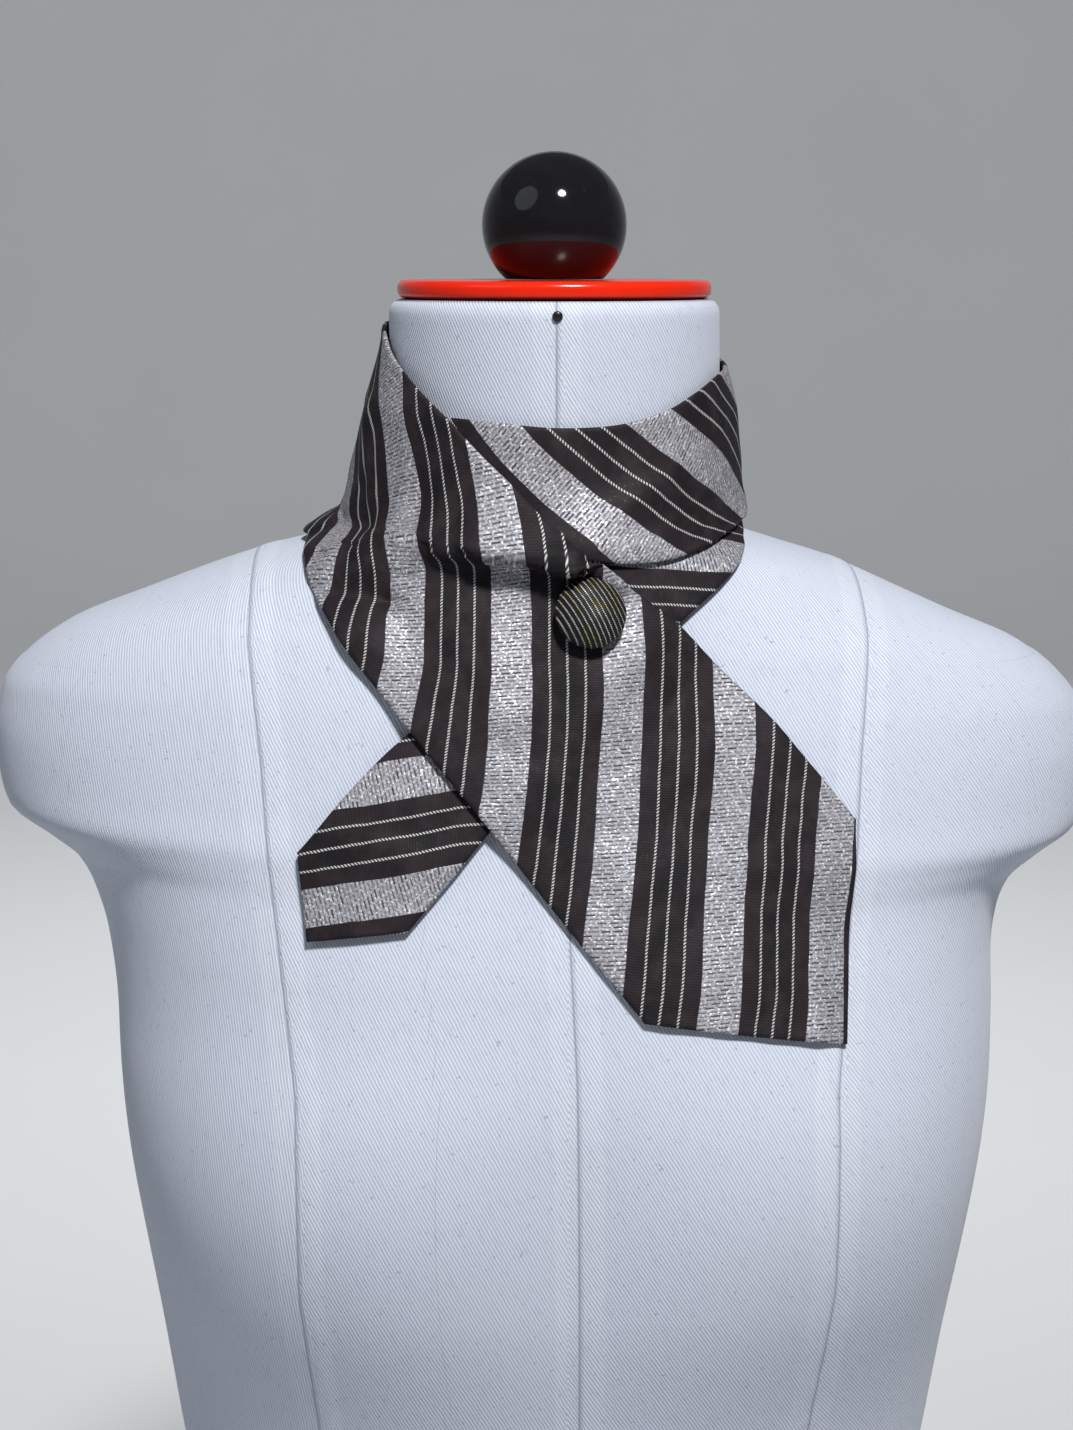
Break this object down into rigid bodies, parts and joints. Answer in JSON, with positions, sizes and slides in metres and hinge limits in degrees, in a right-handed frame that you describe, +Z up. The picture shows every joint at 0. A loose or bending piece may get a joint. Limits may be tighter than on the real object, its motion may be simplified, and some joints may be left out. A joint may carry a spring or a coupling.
{
  "type": "tie scarf on a dress form",
  "caption": "Striped necktie wound round the neck as a scarf, crossed in front and closed with a covered button, on a limbless dress form with neck plate and ball.",
  "frame": {"origin": "centre of the base board's underside, on the floor", "axes": "+Z up the form's middle to the ball; -Y out of the form's front, where the button is; +X to the viewer's right"},
  "size_m": [0.377, 0.2253, 0.704],
  "materials": {
    "tie_cloth": "satin weave with silver and charcoal diagonal stripes",
    "button_cloth": "satin with fine silver stripes",
    "cover_cloth": "fine matt twill",
    "red_lacquer": "glossy",
    "black_lacquer": "high gloss",
    "pin_metal": "satin black",
    "board": "bare sanded"
  },
  "bodies": {
    "root": {"wide_end": "tie_cloth", "outer_turn": "tie_cloth", "inner_turn": "tie_cloth", "narrow_end": "tie_cloth", "button": "button_cloth", "form_torso": "cover_cloth", "neck_plate": "red_lacquer", "ball_finial": "black_lacquer", "front_pin": "pin_metal", "base_board": "board"}
  },
  "joints": []
}
